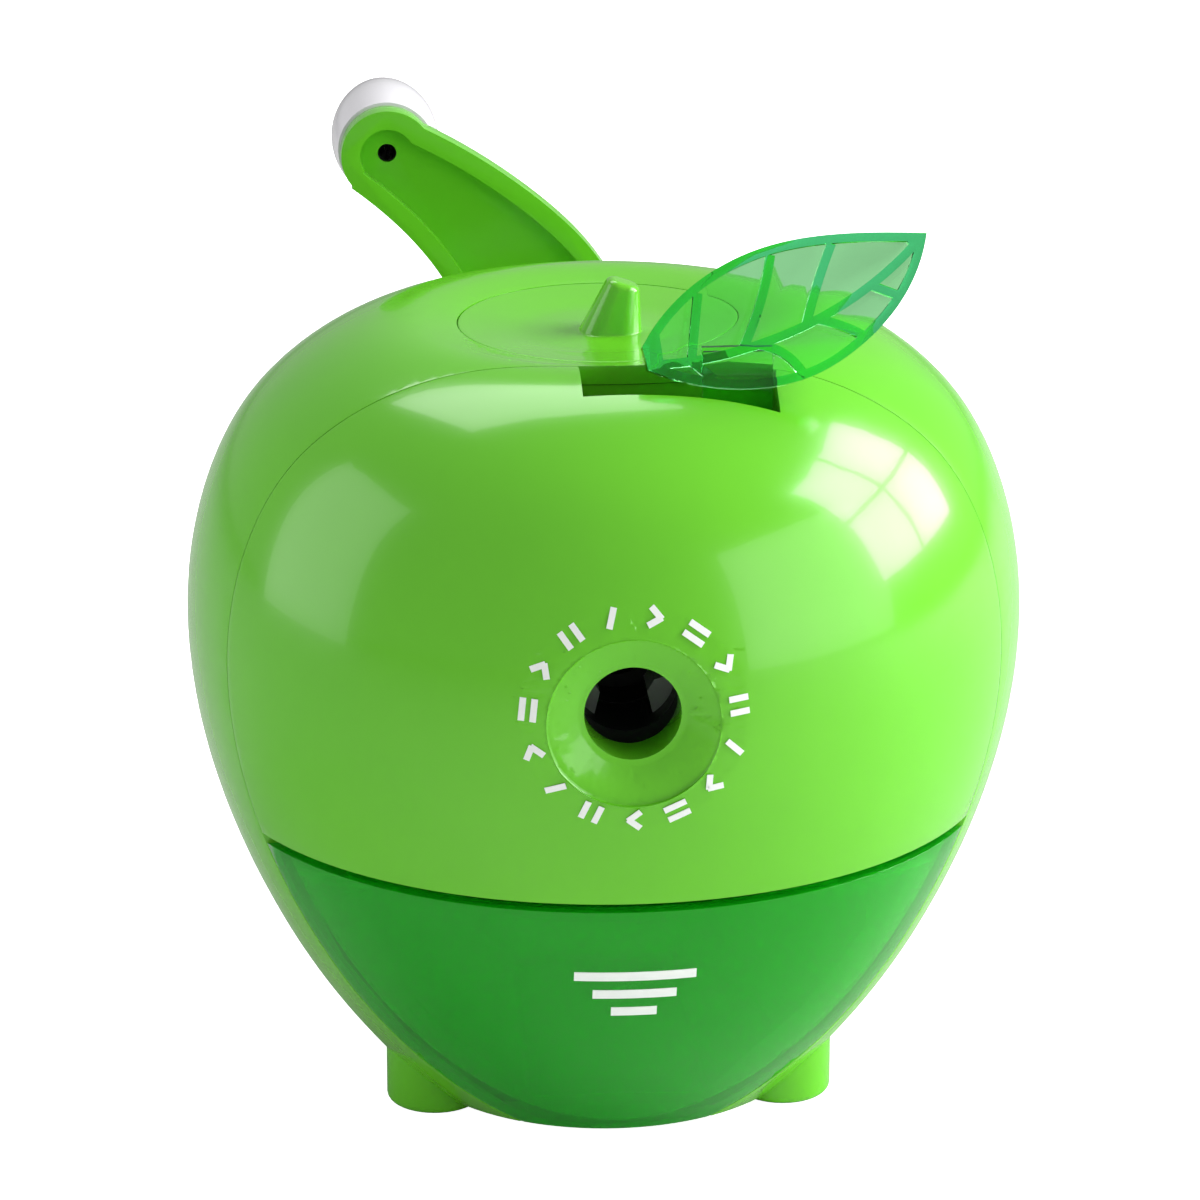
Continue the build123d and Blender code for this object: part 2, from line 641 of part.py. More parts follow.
# ================================================================ cam ring with its lever arm
with BuildPart() as cam_ring:
    with BuildSketch(facing(CAM_BACK_Y)):
        Circle(CAM_R)
        with BuildLine():
            Polyline(*CAM_ARM_ROOT, (TONGUE_X[1], LAP_Z[0] - PENCIL_Z),
                     (TONGUE_X[0], LAP_Z[0] - PENCIL_Z), close=True)
        make_face()
        Circle(CAM_BORE_R, mode=Mode.SUBTRACT)
        for jaw in range(JAW_COUNT):
            angle = 90 + jaw * 360 / JAW_COUNT
            near = Vector(JAW_PIN_AT, 0).rotate(Axis.Z, angle)
            far = Vector(JAW_PIN_AT + JAW_TRAVEL, 0).rotate(Axis.Z, angle - LEVER_SWING)
            with Locations((near + far) / 2):
                SlotCenterToCenter((far - near).length, 2 * (JAW_PIN_R + PIN_SLACK),
                                   rotation=degrees(atan2(far.Y - near.Y, far.X - near.X)),
                                   mode=Mode.SUBTRACT)
    extrude(amount=CAM_THICK)
    add(block(TONGUE_X, (LAP_Y, CAM_BACK_Y), LAP_Z))
    with BuildSketch(facing(CAM_BACK_Y)):
        with Locations(*RIVET_SPOTS):
            Circle(RIVET_R)
    extrude(amount=CAM_THICK, mode=Mode.SUBTRACT)
keep("cam_ring", cam_ring.part)

# ================================================================ leaf lever
LEAF_PLANE = Plane(origin=LEAF_ROOT, x_dir=(1, 0, 0),
                   z_dir=(0, -cos(radians(LEAF_LEAN)), sin(radians(LEAF_LEAN))))
with BuildPart() as leaf:
    with BuildSketch(LEAF_PLANE) as leaf_face:
        with BuildLine():
            Spline(*LEAF_TOP)
            Spline(*LEAF_BOTTOM)
            Line(LEAF_BOTTOM[-1], LEAF_TOP[0])
        make_face()
    extrude(amount=-LEAF_PLATE)
    inner_top = inset_points(LEAF_TOP, LEAF_RIB_WIDTH, 0.06, 0.94)
    inner_bottom = inset_points(LEAF_BOTTOM, LEAF_RIB_WIDTH, 0.06, 0.96)
    with BuildSketch(LEAF_PLANE):
        add(leaf_face.sketch_local)
        with BuildLine():
            Spline(*inner_top)
            Line(inner_top[-1], inner_bottom[0])
            Spline(*inner_bottom)
            Line(inner_bottom[-1], inner_top[0])
        make_face(mode=Mode.SUBTRACT)
    extrude(amount=LEAF_RIB)
    with BuildSketch(LEAF_PLANE):
        for vein in (LEAF_MIDRIB, *LEAF_VEINS):
            with BuildLine() as vein_line:
                Spline(*vein) if len(vein) > 2 else Line(*vein)
            trace(vein_line.line, line_width=LEAF_RIB_WIDTH)
        add(leaf_face.sketch_local, mode=Mode.INTERSECT)
    extrude(amount=LEAF_RIB)
    add(block(TONGUE_X, TONGUE_Y, (LAP_Z[0], TONGUE_TOP_Z)))
    add(block(TONGUE_X, (LAP_Y, TONGUE_Y[1]), (LAP_Z[0] - 1, LAP_Z[1] + 0.1)), mode=Mode.SUBTRACT)
    with BuildSketch(facing(LAP_Y)):
        with Locations(*RIVET_SPOTS):
            Circle(RIVET_R)
    extrude(amount=3, mode=Mode.SUBTRACT)
keep("leaf_lever", leaf.part)

with BuildPart() as lever_rivets:
    with BuildSketch(facing(CAM_BACK_Y)):
        with Locations(*RIVET_SPOTS):
            Circle(RIVET_R)
    extrude(amount=CAM_BACK_Y - TONGUE_Y[0] + RIVET_HEAD)
keep("lever_rivets", lever_rivets.part)
lever_spring_start = (-LEVER_SPRING_LENGTH / 2, (CAM_BACK_Y + HOUSING_BACK_Y) / 2, PENCIL_Z + LEVER_SPRING_Z)
keep("lever_spring", coil(lever_spring_start, (1, 0, 0), LEVER_SPRING_LENGTH, **LEVER_SPRING))

# ================================================================ chuck jaws
for jaw in range(JAW_COUNT):
    turn = jaw * 360 / JAW_COUNT
    jaw_plane = Plane(origin=(0, JAW_BACK_Y, PENCIL_Z),
                      x_dir=(-sin(radians(turn)), 0, cos(radians(turn))), z_dir=(0, -1, 0))
    with BuildPart() as chuck_jaw:
        with BuildSketch(jaw_plane):
            with BuildLine():
                Polyline((JAW_TIP_R, -JAW_TIP_HALF), (JAW_TIP_R + JAW_TAPER, -JAW_WIDTH / 2),
                         (JAW_END_R, -JAW_WIDTH / 2), (JAW_END_R, JAW_WIDTH / 2),
                         (JAW_TIP_R + JAW_TAPER, JAW_WIDTH / 2), (JAW_TIP_R, JAW_TIP_HALF), close=True)
            make_face()
        extrude(amount=JAW_BACK_Y - JAW_FRONT_Y)
        with BuildSketch(jaw_plane):
            with Locations((JAW_PIN_AT, 0)):
                Circle(JAW_PIN_R)
        extrude(amount=JAW_BACK_Y - CAM_BACK_Y + 0.4)
    keep(f"chuck_jaw_{jaw + 1}", chuck_jaw.part)

# ================================================================ cutter, its gear and axle
cutter_lean = radians(CUTTER_TILT)
CUTTER_DIRECTION = (0, cos(cutter_lean), -sin(cutter_lean))
CUTTER_PLANE = Plane(origin=(0, CUTTER_Y, PENCIL_Z + CUTTER_AXIS_R), x_dir=(1, 0, 0), z_dir=CUTTER_DIRECTION)

with BuildPart() as cutter_axle:
    with BuildSketch(CUTTER_PLANE.offset(AXLE_FROM)):
        Circle(AXLE_R)
    extrude(amount=AXLE_TO - AXLE_FROM)
keep("cutter_axle", cutter_axle.part)

with BuildPart() as cutter_gear:
    with BuildSketch(CUTTER_PLANE.offset(-PINION_THICK / 2)):
        with BuildLine():
            Polyline(*tooth_outline(PINION_TEETH, PINION_ROOT_R, PINION_TIP_R, *PINION_TOOTH), close=True)
        make_face()
        Circle(AXLE_R + RUNNING, mode=Mode.SUBTRACT)
    extrude(amount=PINION_THICK)
    with BuildSketch(CUTTER_PLANE.offset(PINION_THICK / 2)):
        Circle(PINION_NECK_R)
        Circle(AXLE_R + RUNNING, mode=Mode.SUBTRACT)
    extrude(amount=CUTTER_START - PINION_THICK / 2)
keep("cutter_gear", cutter_gear.part)

with BuildSketch(mode=Mode.PRIVATE) as flute_section:
    with BuildLine():
        Polyline(*tooth_outline(CUTTER_FLUTES, CUTTER_ROOT_R, CUTTER_R, *FLUTE), close=True)
    make_face()
helix_body = Solid.extrude_linear_with_rotation(
    flute_section.sketch.faces()[0], (0, 0, 0), (0, 0, CUTTER_LENGTH), CUTTER_TWIST)
with BuildPart() as helical_cutter:
    add(CUTTER_PLANE.offset(CUTTER_START) * helix_body)
    with BuildSketch(CUTTER_PLANE.offset(CUTTER_START)):
        Circle(AXLE_R + RUNNING)
    extrude(amount=CUTTER_LENGTH, mode=Mode.SUBTRACT)
keep("helical_cutter", helical_cutter.part)

# ================================================================ cutter carrier
with BuildPart() as cutter_carrier:
    with BuildSketch(facing(DISC_FRONT_Y + DISC_THICK)):
        Circle(DISC_R)
    extrude(amount=DISC_THICK)
    with BuildSketch(facing(TAIL_Y[1])):
        Circle(TAIL_R)
    extrude(amount=TAIL_Y[1] - TAIL_Y[0])
    with BuildSketch(facing(TAIL_Y[0])):
        Circle(CRADLE_R[1])
        Circle(CRADLE_R[0], mode=Mode.SUBTRACT)
        with Locations((0, 20)):
            Rectangle(FAR, 40, mode=Mode.SUBTRACT)
    extrude(amount=TAIL_Y[0] - DISC_FRONT_Y - DISC_THICK)
    with BuildSketch(facing(CARRIER_HUB_BACK_Y)):
        Circle(CARRIER_HUB_R)
    extrude(amount=CARRIER_HUB_BACK_Y - TAIL_Y[1])
    with BuildSketch(facing(DISC_FRONT_Y + DISC_THICK)):
        Circle(DISC_BORE_R)
    extrude(amount=DISC_THICK, mode=Mode.SUBTRACT)
    with BuildSketch(facing(CARRIER_HUB_BACK_Y)):
        Circle(SHAFT_R)
    extrude(amount=CARRIER_HUB_BACK_Y - SHAFT_Y[0], mode=Mode.SUBTRACT)
    with BuildSketch(CUTTER_PLANE.offset(AXLE_FROM)):
        Circle(AXLE_R)
    extrude(amount=AXLE_TO - AXLE_FROM, mode=Mode.SUBTRACT)
keep("cutter_carrier", cutter_carrier.part)

# ================================================================ crank shaft, arm, screw and knob
with BuildPart() as crank_shaft:
    with BuildSketch(facing(SHAFT_Y[1])):
        Circle(SHAFT_R)
        Circle(SCREW_R, mode=Mode.SUBTRACT)
    extrude(amount=SHAFT_Y[1] - SHAFT_Y[0])
keep("crank_shaft", crank_shaft.part)


def crank_outline(inset):
    """The crank arm seen from the front, its edge moved in by inset: a crescent from knob to hub."""
    right = inset_points(ARM_RIGHT, inset)
    left = inset_points(tuple(reversed(ARM_LEFT)), inset)
    with BuildSketch(mode=Mode.PRIVATE) as outline:
        with BuildLine():
            Spline(*right)
            Line(right[-1], left[0])
            Spline(*left)
            Line(left[-1], right[0])
        make_face()
        Circle(HUB_R - inset)
        with Locations((KNOB_X, KNOB_Z)):
            Circle(ARM_END_R - inset)
    return outline.sketch


with BuildPart() as crank_arm:
    with BuildSketch(facing(ARM_Y[1])):
        add(crank_outline(0))
    extrude(amount=ARM_Y[1] - ARM_Y[0])
    with BuildSketch(facing(ARM_Y[1] - ARM_FLOOR)):
        add(crank_outline(ARM_RIM))
    extrude(amount=ARM_Y[1] - ARM_FLOOR - ARM_Y[0], mode=Mode.SUBTRACT)
    with BuildSketch(facing(ARM_Y[1])):
        Circle(HUB_BOSS_R)
    extrude(amount=ARM_Y[1] - HUB_FRONT_Y)
    with BuildSketch(facing(SHAFT_Y[1])):
        Circle(SHAFT_R)
    extrude(amount=SHAFT_Y[1] - HUB_FRONT_Y, mode=Mode.SUBTRACT)
    with BuildSketch(facing(ARM_Y[1])):
        Circle(SCREW_R)
        with Locations((KNOB_X, KNOB_Z)):
            Circle(KNOB_PIN_BORE_R)
    extrude(amount=ARM_Y[1] - ARM_Y[0], mode=Mode.SUBTRACT)
    with BuildSketch(facing(ARM_Y[1])):
        with Locations((KNOB_X, KNOB_Z)):
            Circle(KNOB_PIN_R)
    extrude(amount=ARM_Y[1] - KNOB_PIN_SEAT_Y, mode=Mode.SUBTRACT)
keep("crank_arm", crank_arm.part)
keep("crank_screw", screws_at([(0, 0)], ARM_Y[1] + SCREW_HEAD, SHAFT_Y[1] - CRANK_SCREW))

KNOB_PLANE = Plane(origin=(KNOB_X, 0, PENCIL_Z + KNOB_Z), x_dir=(1, 0, 0), z_dir=(0, 1, 0))
with BuildPart() as knob_pin:
    with BuildSketch(KNOB_PLANE.offset(KNOB_PIN_SEAT_Y)):
        Circle(KNOB_PIN_R)
    extrude(amount=KNOB_PIN_END_Y - KNOB_PIN_SEAT_Y)
    with BuildSketch(KNOB_PLANE.offset(KNOB_BARB_Y[0])):
        Circle(KNOB_BARB_R)
    extrude(amount=KNOB_BARB_Y[1] - KNOB_BARB_Y[0])
    with BuildSketch(KNOB_PLANE.offset(KNOB_PIN_SEAT_Y)):
        Circle(KNOB_PIN_BORE_R)
    extrude(amount=KNOB_PIN_END_Y - KNOB_PIN_SEAT_Y, mode=Mode.SUBTRACT)
keep("knob_pin", knob_pin.part)

with BuildPart() as knob:
    with BuildSketch(Plane(origin=(KNOB_X, 0, PENCIL_Z + KNOB_Z), x_dir=(1, 0, 0), z_dir=(0, 0, 1))):
        with BuildLine():
            Polyline((0, KNOB_END_Y), (0, KNOB_ROOM_Y[1]), (KNOB_ROOM_R, KNOB_ROOM_Y[1]),
                     (KNOB_ROOM_R, KNOB_ROOM_Y[0]), (KNOB_PIN_R + RUNNING, KNOB_ROOM_Y[0]),
                     (KNOB_PIN_R + RUNNING, KNOB_FRONT_Y), (KNOB_NECK_R, KNOB_FRONT_Y))
            Spline((KNOB_NECK_R, KNOB_FRONT_Y), (KNOB_R, KNOB_WIDEST_Y), KNOB_TAPER, (0, KNOB_END_Y),
                   tangents=((0.2, 1), (-1, 0)))
        make_face()
    revolve(axis=Axis((KNOB_X, 0, PENCIL_Z + KNOB_Z), (0, 1, 0)))
keep("knob", knob.part)

# ================================================================ shavings drawer


def drawer_form(inset, front_y, top_z, back_y):
    """The drawer's bulged front and tapered bin as one solid, walls moved in by inset."""
    with BuildPart(mode=Mode.PRIVATE) as form:
        add(apple_body(inset))
        add(block((-FAR, FAR), (-FAR, front_y), (-1, top_z)), mode=Mode.INTERSECT)
        with BuildSketch(Plane(origin=(0, back_y, 0), x_dir=(1, 0, 0), z_dir=(0, -1, 0))):
            with BuildLine():
                right = [(x - inset, z + (inset if z < BIN_TOP else top_z - BIN_TOP)) for x, z in BIN_SECTION]
                Polyline(*right, *[(-x, z) for x, z in reversed(right)], close=True)
            make_face()
        extrude(amount=back_y - front_y)
    return form.part


with BuildPart() as drawer:
    add(drawer_form(0, DRAWER_FRONT_Y, DRAWER_TOP, BIN_BACK_Y))
    add(block((-FAR, FAR), (DRAWER_FRONT_Y, FAR), (BIN_TOP, FAR)), mode=Mode.SUBTRACT)
    add(drawer_form(DRAWER_WALL, DRAWER_FRONT_Y - DRAWER_WALL, FAR, BIN_BACK_Y - DRAWER_WALL),
        mode=Mode.SUBTRACT)
keep("drawer", drawer.part)

os.makedirs("parts", exist_ok=True)
for name, part in parts.items():
    export_step(part, f"parts/{name}.step")
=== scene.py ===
"""Looks of the apple-shaped desk pencil sharpener.

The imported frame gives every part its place. This script dresses the inner mechanism in its finishes
and models the outer pieces again as smooth meshes: casing, cap, leaf, crank, knob and drawer.
"""

import logging
from dataclasses import dataclass
from enum import Enum
from math import cos, hypot, radians, sin, tau

import bmesh
import bpy
from mathutils import Matrix, Vector
from mathutils.bvhtree import BVHTree


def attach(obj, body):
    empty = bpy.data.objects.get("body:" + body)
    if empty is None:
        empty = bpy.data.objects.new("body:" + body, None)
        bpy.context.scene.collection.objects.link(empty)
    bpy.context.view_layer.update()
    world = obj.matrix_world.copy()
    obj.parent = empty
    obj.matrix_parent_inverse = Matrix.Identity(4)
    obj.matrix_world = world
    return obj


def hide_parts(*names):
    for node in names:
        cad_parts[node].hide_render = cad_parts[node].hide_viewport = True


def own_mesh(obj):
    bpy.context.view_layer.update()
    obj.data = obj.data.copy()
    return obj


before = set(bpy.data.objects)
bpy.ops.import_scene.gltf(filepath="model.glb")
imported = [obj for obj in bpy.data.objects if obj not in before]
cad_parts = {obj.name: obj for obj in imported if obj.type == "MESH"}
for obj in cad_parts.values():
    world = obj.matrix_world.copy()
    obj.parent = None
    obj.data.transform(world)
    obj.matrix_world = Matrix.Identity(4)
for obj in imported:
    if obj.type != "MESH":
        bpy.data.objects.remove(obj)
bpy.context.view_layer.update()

MM = 0.001
PENCIL_Z = 62.5
MOUTH_FRONT_Y = -20.0
FACES_FORWARD = -0.3
RIB_MASK = "rib"
LOG = logging.getLogger("pencil_sharpener")
Point = tuple[float, float]


class Body(Enum):
    """The moving bodies that pieces ride on."""

    CASING = "root"
    CARRIAGE = "front_carriage"
    LEVER = "chuck_lever"
    CRANK = "crank"
    KNOB = "knob_grip"
    DRAWER = "shavings_drawer"


# ------------------------------------------------------------------------------ finishes


def add_group_socket(group: bpy.types.NodeTree, name: str, kind: str, is_input: bool, value: object = None) -> None:
    """Give a shader group one named socket.

    Args:
        group: the node group to extend.
        name: the socket's name.
        kind: "Float", "Color" or "Vector".
        is_input: whether the socket is an input.
        value: the default of an input.
    """
    socket = group.interface.new_socket(name, in_out="INPUT" if is_input else "OUTPUT",
                                        socket_type=f"NodeSocket{kind}")
    if value is not None:
        socket.default_value = value


@dataclass(frozen=True)
class MouldedSkin:
    """Shader group for injection-moulded plastic: faint colour clouds, uneven polish and fine handling scratches."""

    name: str = "Moulded Skin"

    def build(self) -> bpy.types.NodeTree:
        """Make the group once.

        Returns:
            The finished node group.
        """
        group = bpy.data.node_groups.new(self.name, "ShaderNodeTree")
        add_group_socket(group, "Color", "Color", True, (0.5, 0.5, 0.5, 1.0))
        add_group_socket(group, "Deep Color", "Color", True, (0.3, 0.3, 0.3, 1.0))
        add_group_socket(group, "Cloud Scale", "Float", True, 60.0)
        add_group_socket(group, "Roughness", "Float", True, 0.2)
        add_group_socket(group, "Polish Spread", "Float", True, 0.08)
        add_group_socket(group, "Color", "Color", False)
        add_group_socket(group, "Roughness", "Float", False)
        add_group_socket(group, "Height", "Float", False)
        nodes, links = group.nodes, group.links
        entry, leave = nodes.new("NodeGroupInput"), nodes.new("NodeGroupOutput")
        place = nodes.new("ShaderNodeTexCoord")

        cloud = nodes.new("ShaderNodeTexNoise")
        cloud.inputs["Detail"].default_value = 3.0
        links.new(place.outputs["Object"], cloud.inputs["Vector"])
        links.new(entry.outputs["Cloud Scale"], cloud.inputs["Scale"])
        tint = nodes.new("ShaderNodeMix")
        tint.data_type = "RGBA"
        links.new(cloud.outputs["Fac"], tint.inputs["Factor"])
        links.new(entry.outputs["Color"], tint.inputs["A"])
        links.new(entry.outputs["Deep Color"], tint.inputs["B"])
        links.new(tint.outputs["Result"], leave.inputs["Color"])

        smear = nodes.new("ShaderNodeMapping")
        smear.inputs["Rotation"].default_value = (0.5, 0.9, 0.3)
        smear.inputs["Scale"].default_value = (1.0, 14.0, 3.0)
        scratches = nodes.new("ShaderNodeTexNoise")
        scratches.inputs["Scale"].default_value = 420.0
        scratches.inputs["Detail"].default_value = 4.0
        links.new(place.outputs["Object"], smear.inputs["Vector"])
        links.new(smear.outputs["Vector"], scratches.inputs["Vector"])
        lines = nodes.new("ShaderNodeMapRange")
        lines.inputs["From Min"].default_value = 0.62
        lines.inputs["From Max"].default_value = 0.74
        links.new(scratches.outputs["Fac"], lines.inputs["Value"])
        blotch = nodes.new("ShaderNodeMath")
        blotch.operation = "MULTIPLY_ADD"
        links.new(cloud.outputs["Fac"], blotch.inputs[0])
        links.new(entry.outputs["Polish Spread"], blotch.inputs[1])
        links.new(entry.outputs["Roughness"], blotch.inputs[2])
        worn = nodes.new("ShaderNodeMath")
        worn.operation = "MULTIPLY_ADD"
        links.new(lines.outputs["Result"], worn.inputs[0])
        links.new(entry.outputs["Polish Spread"], worn.inputs[1])
        links.new(blotch.outputs["Value"], worn.inputs[2])
        links.new(worn.outputs["Value"], leave.inputs["Roughness"])

        ripple = nodes.new("ShaderNodeTexNoise")
        ripple.inputs["Scale"].default_value = 28.0
        ripple.inputs["Detail"].default_value = 1.0
        links.new(place.outputs["Object"], ripple.inputs["Vector"])
        relief = nodes.new("ShaderNodeMath")
        relief.operation = "MULTIPLY_ADD"
        relief.inputs[1].default_value = 0.04
        links.new(scratches.outputs["Fac"], relief.inputs[0])
        links.new(ripple.outputs["Fac"], relief.inputs[2])
        links.new(relief.outputs["Value"], leave.inputs["Height"])
        return group


@dataclass(frozen=True)
class DrawnMetal:
    """Shader group for drawn or turned metal: fine streaks along one axis with dull patches."""

    name: str = "Drawn Metal"

    def build(self) -> bpy.types.NodeTree:
        """Make the group once.

        Returns:
            The finished node group.
        """
        group = bpy.data.node_groups.new(self.name, "ShaderNodeTree")
        add_group_socket(group, "Color", "Color", True, (0.6, 0.6, 0.6, 1.0))
        add_group_socket(group, "Dull Color", "Color", True, (0.3, 0.3, 0.3, 1.0))
        add_group_socket(group, "Streaks", "Vector", True, (1.0, 0.06, 1.0))
        add_group_socket(group, "Roughness", "Float", True, 0.25)
        add_group_socket(group, "Color", "Color", False)
        add_group_socket(group, "Roughness", "Float", False)
        add_group_socket(group, "Height", "Float", False)
        nodes, links = group.nodes, group.links
        entry, leave = nodes.new("NodeGroupInput"), nodes.new("NodeGroupOutput")
        place = nodes.new("ShaderNodeTexCoord")
        stretch = nodes.new("ShaderNodeMapping")
        links.new(place.outputs["Object"], stretch.inputs["Vector"])
        links.new(entry.outputs["Streaks"], stretch.inputs["Scale"])
        streak = nodes.new("ShaderNodeTexNoise")
        streak.inputs["Scale"].default_value = 2600.0
        streak.inputs["Detail"].default_value = 3.0
        links.new(stretch.outputs["Vector"], streak.inputs["Vector"])
        patch = nodes.new("ShaderNodeTexNoise")
        patch.inputs["Scale"].default_value = 180.0
        links.new(place.outputs["Object"], patch.inputs["Vector"])
        blend = nodes.new("ShaderNodeMix")
        blend.data_type = "RGBA"
        links.new(patch.outputs["Fac"], blend.inputs["Factor"])
        links.new(entry.outputs["Color"], blend.inputs["A"])
        links.new(entry.outputs["Dull Color"], blend.inputs["B"])
        links.new(blend.outputs["Result"], leave.inputs["Color"])
        rough = nodes.new("ShaderNodeMath")
        rough.operation = "MULTIPLY_ADD"
        rough.inputs[1].default_value = 0.25
        links.new(streak.outputs["Fac"], rough.inputs[0])
        links.new(entry.outputs["Roughness"], rough.inputs[2])
        links.new(rough.outputs["Value"], leave.inputs["Roughness"])
        links.new(streak.outputs["Fac"], leave.inputs["Height"])
        return group


@dataclass(frozen=True)
class Plastic:
    """A moulded plastic finish, opaque or clear."""

    name: str
    color: tuple[float, float, float]
    deep_color: tuple[float, float, float]
    roughness: float
    polish_spread: float = 0.06
    cloud_scale: float = 55.0
    bump_mm: float = 0.02
    coat: float = 0.0
    clear: float = 0.0
    refraction: float = 1.49
    rib_color: tuple[float, float, float] | None = None

    def material(self, skin: bpy.types.NodeTree) -> bpy.types.Material:
        """Build the material.

        Args:
            skin: the moulded skin group.

        Returns:
            The new material.
        """
        made = bpy.data.materials.new(self.name)
        made.use_nodes = True
        nodes, links = made.node_tree.nodes, made.node_tree.links
        shader = nodes["Principled BSDF"]
        shader.inputs["IOR"].default_value = self.refraction
        shader.inputs["Coat Weight"].default_value = self.coat
        shader.inputs["Coat Roughness"].default_value = 0.03
        shader.inputs["Transmission Weight"].default_value = self.clear
        group = nodes.new("ShaderNodeGroup")
        group.node_tree = skin
        group.inputs["Color"].default_value = (*self.color, 1.0)
        group.inputs["Deep Color"].default_value = (*self.deep_color, 1.0)
        group.inputs["Cloud Scale"].default_value = self.cloud_scale
        group.inputs["Roughness"].default_value = self.roughness
        group.inputs["Polish Spread"].default_value = self.polish_spread
        tint = group.outputs["Color"]
        if self.rib_color:
            height, blend = nodes.new("ShaderNodeAttribute"), nodes.new("ShaderNodeMix")
            height.attribute_name = RIB_MASK
            blend.data_type = "RGBA"
            blend.inputs["B"].default_value = (*self.rib_color, 1.0)
            links.new(height.outputs["Fac"], blend.inputs["Factor"])
            links.new(tint, blend.inputs["A"])
            tint = blend.outputs["Result"]
        links.new(tint, shader.inputs["Base Color"])
        links.new(group.outputs["Roughness"], shader.inputs["Roughness"])
        bump = nodes.new("ShaderNodeBump")
        bump.inputs["Strength"].default_value = 0.35
        bump.inputs["Distance"].default_value = self.bump_mm * MM
        links.new(group.outputs["Height"], bump.inputs["Height"])
        links.new(bump.outputs["Normal"], shader.inputs["Normal"])
        return made


@dataclass(frozen=True)
class Metal:
    """A metal finish with streaks along its drawing direction."""

    name: str
    color: tuple[float, float, float]
    dull_color: tuple[float, float, float]
    roughness: float
    streaks: tuple[float, float, float] = (1.0, 0.06, 1.0)

    def material(self, drawn: bpy.types.NodeTree) -> bpy.types.Material:
        """Build the material.

        Args:
            drawn: the drawn metal group.

        Returns:
            The new material.
        """
        made = bpy.data.materials.new(self.name)
        made.use_nodes = True
        nodes, links = made.node_tree.nodes, made.node_tree.links
        shader = nodes["Principled BSDF"]
        shader.inputs["Metallic"].default_value = 1.0
        group = nodes.new("ShaderNodeGroup")
        group.node_tree = drawn
        group.inputs["Color"].default_value = (*self.color, 1.0)
        group.inputs["Dull Color"].default_value = (*self.dull_color, 1.0)
        group.inputs["Streaks"].default_value = self.streaks
        group.inputs["Roughness"].default_value = self.roughness
        links.new(group.outputs["Color"], shader.inputs["Base Color"])
        links.new(group.outputs["Roughness"], shader.inputs["Roughness"])
        bump = nodes.new("ShaderNodeBump")
        bump.inputs["Strength"].default_value = 0.2
        bump.inputs["Distance"].default_value = 0.01 * MM
        links.new(group.outputs["Height"], bump.inputs["Height"])
        links.new(bump.outputs["Normal"], shader.inputs["Normal"])
        return made


class Finish(Enum):
    """Every finish on the sharpener; the value is the record's material slot and the recipe."""

    CASING = ("green_casing", Plastic("Fresh Green Gloss", (0.135, 0.545, 0.018), (0.117, 0.500, 0.015), 0.17,
                                      polish_spread=0.05, bump_mm=0.012, coat=0.3))
    DRAWER = ("green_clear", Plastic("Bottle Green Clear", (0.026, 0.92, 0.034), (0.021, 0.87, 0.028), 0.01,
                                     polish_spread=0.02, bump_mm=0.006, clear=0.76))
    LEAF = ("leaf_clear", Plastic("Emerald Clear", (0.42, 0.97, 0.46), (0.36, 0.95, 0.41), 0.02,
                                  polish_spread=0.03, bump_mm=0.02, clear=1.0, rib_color=(0.02, 0.66, 0.17)))
    KNOB = ("white_knob", Plastic("White Gloss", (0.76, 0.75, 0.78), (0.72, 0.71, 0.74), 0.12,
                                  polish_spread=0.08, bump_mm=0.01, coat=0.3))
    BLACK = ("dark_mechanism", Plastic("Black Nylon", (0.022, 0.023, 0.025), (0.035, 0.036, 0.038), 0.38,
                                       polish_spread=0.14, cloud_scale=160.0, bump_mm=0.04))
    GREY = ("grey_mechanism", Plastic("Grey Acetal", (0.50, 0.51, 0.52), (0.42, 0.43, 0.44), 0.30,
                                      polish_spread=0.12, cloud_scale=120.0, bump_mm=0.03))
    PRINT = ("white_knob", Plastic("White Pad Print", (0.88, 0.90, 0.88), (0.80, 0.84, 0.80), 0.45,
                                   polish_spread=0.10, cloud_scale=900.0, bump_mm=0.01))
    STEEL = ("steel", Metal("Drawn Steel", (0.62, 0.62, 0.64), (0.48, 0.48, 0.50), 0.16))
    TOOL_STEEL = ("tool_steel", Metal("Ground Tool Steel", (0.34, 0.34, 0.36), (0.22, 0.22, 0.23), 0.22))
    SPRING = ("spring_steel", Metal("Plated Spring Wire", (0.58, 0.58, 0.60), (0.45, 0.45, 0.47), 0.10))
    BRONZE = ("bronze", Metal("Sintered Bronze", (0.55, 0.33, 0.14), (0.38, 0.22, 0.09), 0.34,
                              streaks=(1.0, 1.0, 1.0)))

    @property
    def slot(self) -> str:
        """The record's material slot."""
        return self.value[0]

    @property
    def recipe(self) -> Plastic | Metal:
        """The finish's recipe."""
        return self.value[1]


class PaintShop:
    """Builds each finish once and puts it on pieces and frame nodes."""

    def __init__(self) -> None:
        """Build the shared shader groups and every material."""
        skin, drawn = MouldedSkin().build(), DrawnMetal().build()
        self.materials = {
            finish: finish.recipe.material(skin if isinstance(finish.recipe, Plastic) else drawn)
            for finish in Finish
        }

    def dress(self, piece: bpy.types.Object, finish: Finish) -> None:
        """Give a piece its finish.

        Args:
            piece: a new piece or a frame node.
            finish: the finish to use.
        """
        piece.data.materials.clear()
        piece.data.materials.append(self.materials[finish])


# ------------------------------------------------------------------------------ mesh helpers


